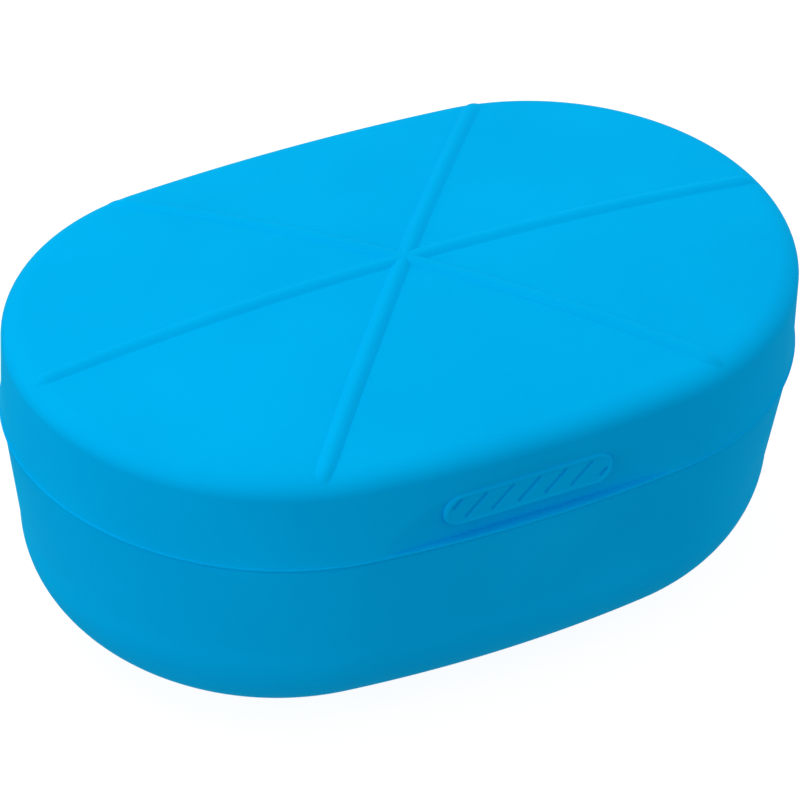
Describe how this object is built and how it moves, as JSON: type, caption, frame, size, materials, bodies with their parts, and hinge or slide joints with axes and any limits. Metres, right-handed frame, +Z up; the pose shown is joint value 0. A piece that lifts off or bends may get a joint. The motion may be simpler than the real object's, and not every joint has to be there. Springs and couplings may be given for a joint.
{
  "type": "pill crusher",
  "caption": "Oval hinged plastic case with a ribbed lid: a sprung pestle under the lid presses pills in a steel cup, with pill pockets around it.",
  "frame": {"origin": "centre of the resting face, under the crossing of the lid's ribs", "axes": "+X along the oval's long axis, -Y towards the thumb pad, +Y towards the hinge, +Z up"},
  "size_m": [0.1, 0.0724, 0.0448],
  "materials": {
    "blue_shell": "matte, soft touch",
    "white_insert": "satin",
    "steel": "satin",
    "silicone": "matte",
    "rubber_pad": "matte"
  },
  "bodies": {
    "base": {"base_shell": "blue_shell", "tray": "white_insert", "crush_cup": "steel", "cup_ring": "silicone", "rim_seal": "silicone", "hinge_pin": "steel", "non_slip_pad": "rubber_pad", "tray_screw_1": "steel", "tray_screw_2": "steel", "tray_screw_3": "steel", "tray_screw_4": "steel"},
    "lid": {"lid_shell": "blue_shell", "lid_liner": "white_insert", "pestle_spring": "steel", "liner_screw_1": "steel", "liner_screw_2": "steel", "liner_screw_3": "steel", "liner_screw_4": "steel"},
    "pestle": {"pestle_head": "steel", "pestle_stem": "white_insert", "retaining_clip": "steel"}
  },
  "joints": [
    {"name": "lid_hinge", "type": "hinge", "parent": "base", "child": "lid", "pos_m": [0, 0.0346, 0.0286], "axis": [-1, 0, 0], "range_deg": [0, 95]},
    {"name": "pestle_slide", "type": "slide", "parent": "lid", "child": "pestle", "axis": [0, 0, 1], "range_m": [0, 0.003], "stiffness_N_per_m": 600, "springref_m": -0.002, "deforming": ["pestle_spring"]}
  ]
}
